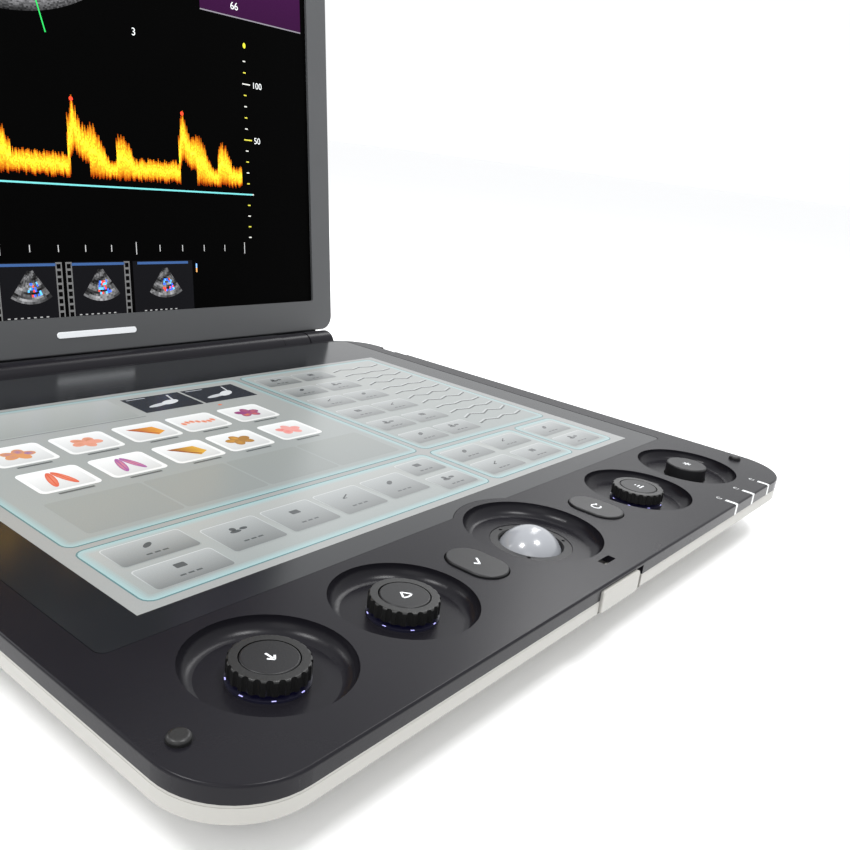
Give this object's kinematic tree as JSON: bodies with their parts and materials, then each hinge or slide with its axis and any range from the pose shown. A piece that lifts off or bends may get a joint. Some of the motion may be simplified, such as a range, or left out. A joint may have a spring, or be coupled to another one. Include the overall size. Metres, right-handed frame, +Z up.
{
  "type": "ultrasound scanner",
  "caption": "Laptop-style ultrasound scanner: shallow base with touch glass, trackball, dished knobs and buttons, and a hinged display lid that folds flat and latches.",
  "frame": {"origin": "bottom centre of the whole object's box with the lid open, on the surface it stands on", "axes": "+Z up, +Y from the operator to the hinge, +X to the operator's right"},
  "size_m": [0.3474, 0.378, 0.3288],
  "materials": {
    "charcoal_plastic": "fine-textured satin moulding",
    "cream_plastic": "fine-textured satin moulding",
    "grey_satin_plastic": "satin painted moulding",
    "black_glass": "glossy flush touch panel",
    "screen_glass": "semi-gloss display front",
    "display_module": "display module",
    "black_rubber": "matte elastomer",
    "black_gloss_plastic": "semi-gloss moulding",
    "smoke_ball": "polished translucent grey",
    "black_plastic": "plain moulding",
    "light_diffuser": "frosted light guide",
    "steel": "plain steel",
    "contacts": "plated contacts",
    "circuit_board": "coated circuit board with parts",
    "aluminium": "plain"
  },
  "bodies": {
    "base": {"top_cover": "charcoal_plastic", "hinge_brackets": "charcoal_plastic", "battery_door": "charcoal_plastic", "lower_housing": "cream_plastic", "trim_frame": "cream_plastic", "touch_glass": "black_glass", "touch_display": "display_module", "rubber_feet": "black_rubber", "deck_bumpers": "black_rubber", "trackball_ring": "black_plastic", "trackball_cup": "black_plastic", "port_housing": "black_plastic", "probe_socket": "black_plastic", "fan_housing": "black_plastic", "speakers": "black_plastic", "battery_pack": "black_plastic", "latch_guide": "black_plastic", "encoders": "black_plastic", "knob_light_rings": "light_diffuser", "light_pipes": "light_diffuser", "touch_frame": "steel", "belly_screws": "steel", "hinge_pins": "steel", "standoffs": "steel", "port_contacts": "contacts", "probe_contacts": "contacts", "power_inlet_pin": "contacts", "control_board": "circuit_board", "indicator_board": "circuit_board", "main_board": "circuit_board", "front_end_board": "circuit_board", "power_board": "circuit_board", "heat_spreader": "aluminium"},
    "lid": {"lid_bezel": "grey_satin_plastic", "lid_back_cover": "grey_satin_plastic", "screen_glass": "screen_glass", "screen_module": "display_module", "screen_driver": "circuit_board", "hinge_arms": "steel", "hinge_barrel": "charcoal_plastic", "lid_hook": "steel", "lid_screws": "steel"},
    "depth_knob_ring": {"depth_knob_ring": "black_rubber"},
    "depth_knob_cap": {"depth_knob_cap": "black_gloss_plastic"},
    "gain_knob_ring": {"gain_knob_ring": "black_rubber"},
    "gain_knob_cap": {"gain_knob_cap": "black_gloss_plastic"},
    "scale_knob_ring": {"scale_knob_ring": "black_rubber"},
    "scale_knob_cap": {"scale_knob_cap": "black_gloss_plastic"},
    "set_button": {"set_button": "black_gloss_plastic"},
    "update_button": {"update_button": "black_gloss_plastic"},
    "freeze_button": {"freeze_button": "black_gloss_plastic"},
    "power_button": {"power_button": "black_gloss_plastic"},
    "trackball": {"trackball": "smoke_ball"},
    "latch": {"latch_tab": "cream_plastic"},
    "probe_lock": {"probe_lock": "black_plastic"},
    "fan": {"fan_impeller": "black_plastic"}
  },
  "joints": [
    {"name": "lid_hinge", "type": "hinge", "parent": "base", "child": "lid", "pos_m": [0, 0.12362, 0.025], "axis": [-1, 0, 0], "range_deg": [-98.8, 45]},
    {"name": "depth_knob_turn", "type": "hinge", "parent": "base", "child": "depth_knob_ring", "pos_m": [-0.1305, -0.15188, 0.03], "axis": [0, 0, 1], "continuous": true},
    {"name": "depth_knob_press", "type": "slide", "parent": "base", "child": "depth_knob_cap", "axis": [0, 0, -1], "range_m": [0, 0.0008], "stiffness_N_per_m": 500},
    {"name": "gain_knob_turn", "type": "hinge", "parent": "base", "child": "gain_knob_ring", "pos_m": [-0.078, -0.15208, 0.03], "axis": [0, 0, 1], "continuous": true},
    {"name": "gain_knob_press", "type": "slide", "parent": "base", "child": "gain_knob_cap", "axis": [0, 0, -1], "range_m": [0, 0.0008], "stiffness_N_per_m": 500},
    {"name": "scale_knob_turn", "type": "hinge", "parent": "base", "child": "scale_knob_ring", "pos_m": [0.078, -0.15208, 0.03], "axis": [0, 0, 1], "continuous": true},
    {"name": "scale_knob_press", "type": "slide", "parent": "base", "child": "scale_knob_cap", "axis": [0, 0, -1], "range_m": [0, 0.0008], "stiffness_N_per_m": 500},
    {"name": "set_button_press", "type": "slide", "parent": "base", "child": "set_button", "axis": [0, 0, -1], "range_m": [0, 0.0008], "stiffness_N_per_m": 500},
    {"name": "update_button_press", "type": "slide", "parent": "base", "child": "update_button", "axis": [0, 0, -1], "range_m": [0, 0.0008], "stiffness_N_per_m": 500},
    {"name": "freeze_button_press", "type": "slide", "parent": "base", "child": "freeze_button", "axis": [0, 0, -1], "range_m": [0, 0.0008], "stiffness_N_per_m": 500},
    {"name": "power_button_press", "type": "slide", "parent": "base", "child": "power_button", "axis": [1, 0, 0], "range_m": [0, 0.0012], "stiffness_N_per_m": 500},
    {"name": "trackball_roll", "type": "hinge", "parent": "base", "child": "trackball", "pos_m": [0, -0.14798, 0.0183], "axis": [1, 0, 0], "continuous": true},
    {"name": "latch_slide", "type": "slide", "parent": "base", "child": "latch", "axis": [1, 0, 0], "range_m": [0, 0.0035], "stiffness_N_per_m": 300},
    {"name": "probe_lock_slide", "type": "slide", "parent": "base", "child": "probe_lock", "axis": [0, 1, 0], "range_m": [0, 0.01]},
    {"name": "fan_spin", "type": "hinge", "parent": "base", "child": "fan", "pos_m": [0.084, 0.05902, 0.012], "axis": [0, 0, 1], "continuous": true}
  ]
}
